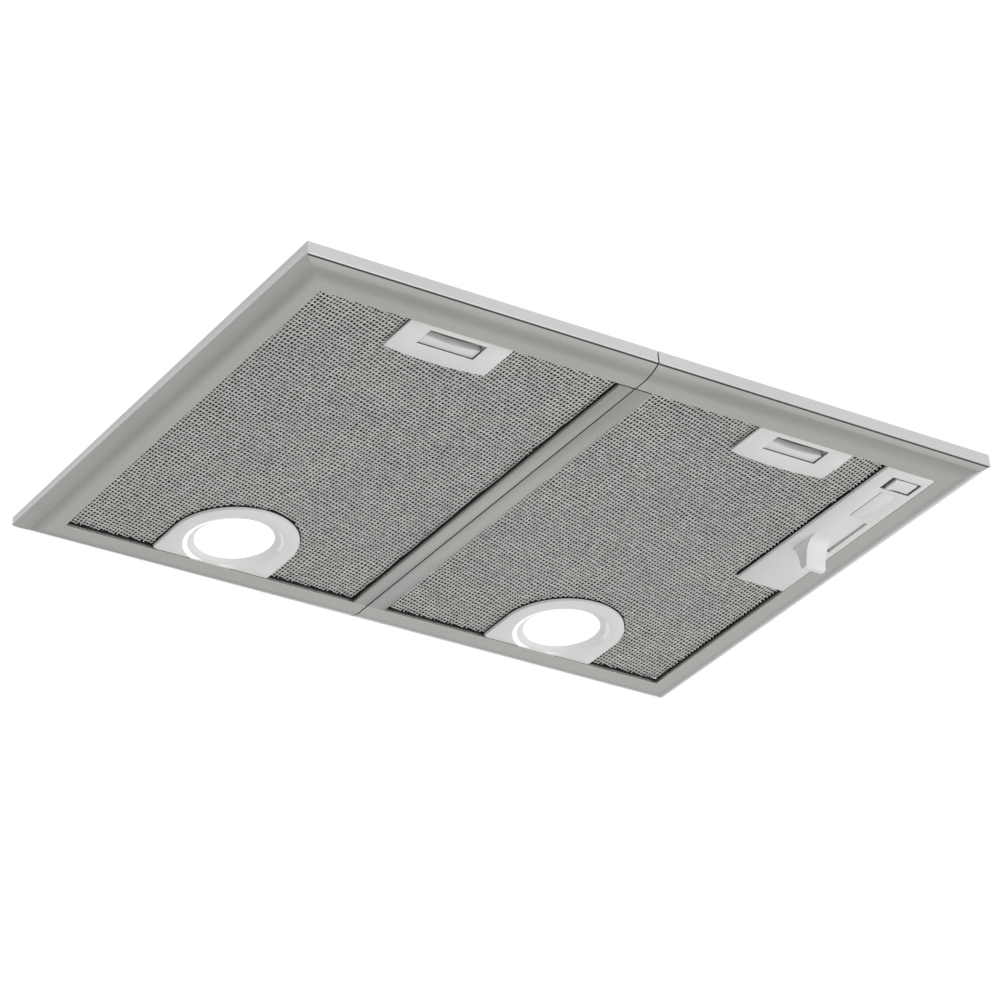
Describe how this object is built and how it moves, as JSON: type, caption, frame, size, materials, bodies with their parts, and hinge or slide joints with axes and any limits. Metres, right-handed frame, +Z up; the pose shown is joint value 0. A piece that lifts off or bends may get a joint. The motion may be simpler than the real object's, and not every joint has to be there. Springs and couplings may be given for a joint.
{
  "type": "under cabinet range hood",
  "caption": "Built-in range hood: flat trim frame with grease filters, round lamps, rocker and speed slider below, and a sheet metal housing with fan and duct outlet above.",
  "frame": {"origin": "middle of the rear lip's top face, in the plane where the housing's lips meet the cabinet's underside", "axes": "+X to the right as seen from the front, +Y to the wall, +Z up; the front faces -Y"},
  "size_m": [0.534, 0.38, 0.2748],
  "materials": {
    "rim_paint": "silver grey satin lacquer",
    "zinc_sheet": "galvanised sheet",
    "grey_plastic": "moulded, fine texture",
    "filter_metal": "expanded and knitted mesh",
    "light_plastic": "light grey moulded plastic",
    "lamp_glass": "opal, lit",
    "black_plastic": "black moulded plastic",
    "steel": "zinc plated steel"
  },
  "bodies": {
    "hood": {"trim_frame_left": "rim_paint", "trim_frame_right": "rim_paint", "centre_strip_left": "rim_paint", "centre_strip_right": "rim_paint", "housing_front": "zinc_sheet", "housing_rear": "zinc_sheet", "housing_left": "zinc_sheet", "housing_right": "zinc_sheet", "housing_top": "zinc_sheet", "centre_beam": "zinc_sheet", "fan_casing_left": "grey_plastic", "fan_casing_right": "grey_plastic", "fan_motor": "zinc_sheet", "motor_bracket": "zinc_sheet", "outlet_spigot": "grey_plastic", "lamp_bezel_left": "light_plastic", "lamp_bezel_right": "light_plastic", "lamp_lens_left": "lamp_glass", "lamp_lens_right": "lamp_glass", "lamp_holder_left": "zinc_sheet", "lamp_holder_right": "zinc_sheet", "lamp_bulb_left": "lamp_glass", "lamp_bulb_right": "lamp_glass", "control_panel": "light_plastic", "name_plate_blank": "light_plastic", "light_switch_body": "black_plastic", "speed_switch_body": "black_plastic", "control_box": "grey_plastic", "terminal_box": "grey_plastic", "motor_capacitor": "light_plastic", "cable_gland": "black_plastic", "clamp_screw_left_front": "steel", "clamp_screw_left_rear": "steel", "clamp_screw_right_front": "steel", "clamp_screw_right_rear": "steel"},
    "fan_rotor": {"fan_wheel_left": "black_plastic", "fan_wheel_right": "black_plastic", "motor_shaft": "steel"},
    "flap_left": {"outlet_flap_left": "grey_plastic"},
    "flap_right": {"outlet_flap_right": "grey_plastic"},
    "filter_left": {"filter_frame_left": "filter_metal", "filter_mesh_left": "filter_metal", "filter_pad_left": "filter_metal", "latch_plate_left": "light_plastic", "latch_spring_left": "steel"},
    "filter_right": {"filter_frame_right": "filter_metal", "filter_mesh_right": "filter_metal", "filter_pad_right": "filter_metal", "latch_plate_right": "light_plastic", "latch_spring_right": "steel"},
    "latch_left": {"latch_slide_left": "light_plastic"},
    "latch_right": {"latch_slide_right": "light_plastic"},
    "speed_slider": {"fan_slider": "light_plastic"},
    "light_switch": {"light_rocker": "light_plastic"},
    "clamp_left_front": {"clamp_arm_left_front": "zinc_sheet"},
    "clamp_left_rear": {"clamp_arm_left_rear": "zinc_sheet"},
    "clamp_right_front": {"clamp_arm_right_front": "zinc_sheet"},
    "clamp_right_rear": {"clamp_arm_right_rear": "zinc_sheet"}
  },
  "joints": [
    {"name": "fan_rotor_spin", "type": "hinge", "parent": "hood", "child": "fan_rotor", "pos_m": [0, -0.194, 0.08], "axis": [1, 0, 0], "continuous": true},
    {"name": "flap_left_hinge", "type": "hinge", "parent": "hood", "child": "flap_left", "pos_m": [-0.0034, -0.18, 0.178], "axis": [0, 1, 0], "range_deg": [0, 80]},
    {"name": "flap_right_hinge", "type": "hinge", "parent": "hood", "child": "flap_right", "pos_m": [0.0034, -0.18, 0.178], "axis": [0, -1, 0], "range_deg": [0, 80]},
    {"name": "filter_left_hinge", "type": "hinge", "parent": "hood", "child": "filter_left", "pos_m": [-0.12925, -0.0192, -0.011], "axis": [1, 0, 0], "range_deg": [0, 85]},
    {"name": "filter_right_hinge", "type": "hinge", "parent": "hood", "child": "filter_right", "pos_m": [0.12485, -0.0192, -0.011], "axis": [1, 0, 0], "range_deg": [0, 85]},
    {"name": "latch_left_slide", "type": "slide", "parent": "filter_left", "child": "latch_left", "axis": [0, 1, 0], "range_m": [0, 0.004], "stiffness_N_per_m": 400, "springref_m": -0.002, "deforming": ["latch_spring_left"]},
    {"name": "latch_right_slide", "type": "slide", "parent": "filter_right", "child": "latch_right", "axis": [0, 1, 0], "range_m": [0, 0.004], "stiffness_N_per_m": 400, "springref_m": -0.002, "deforming": ["latch_spring_right"]},
    {"name": "speed_slide", "type": "slide", "parent": "hood", "child": "speed_slider", "axis": [0, 1, 0], "range_m": [-0.04, 0]},
    {"name": "light_rocker_hinge", "type": "hinge", "parent": "hood", "child": "light_switch", "pos_m": [0.2245, -0.326, -0.01], "axis": [0, 1, 0], "range_deg": [0, 8]},
    {"name": "clamp_left_front_swing", "type": "hinge", "parent": "hood", "child": "clamp_left_front", "pos_m": [-0.256, -0.29, 0.02], "axis": [0, 0, 1], "range_deg": [0, 90]},
    {"name": "clamp_left_rear_swing", "type": "hinge", "parent": "hood", "child": "clamp_left_rear", "pos_m": [-0.256, -0.095, 0.02], "axis": [0, 0, 1], "range_deg": [0, 90]},
    {"name": "clamp_right_front_swing", "type": "hinge", "parent": "hood", "child": "clamp_right_front", "pos_m": [0.256, -0.29, 0.02], "axis": [0, 0, -1], "range_deg": [0, 90]},
    {"name": "clamp_right_rear_swing", "type": "hinge", "parent": "hood", "child": "clamp_right_rear", "pos_m": [0.256, -0.095, 0.02], "axis": [0, 0, -1], "range_deg": [0, 90]}
  ]
}
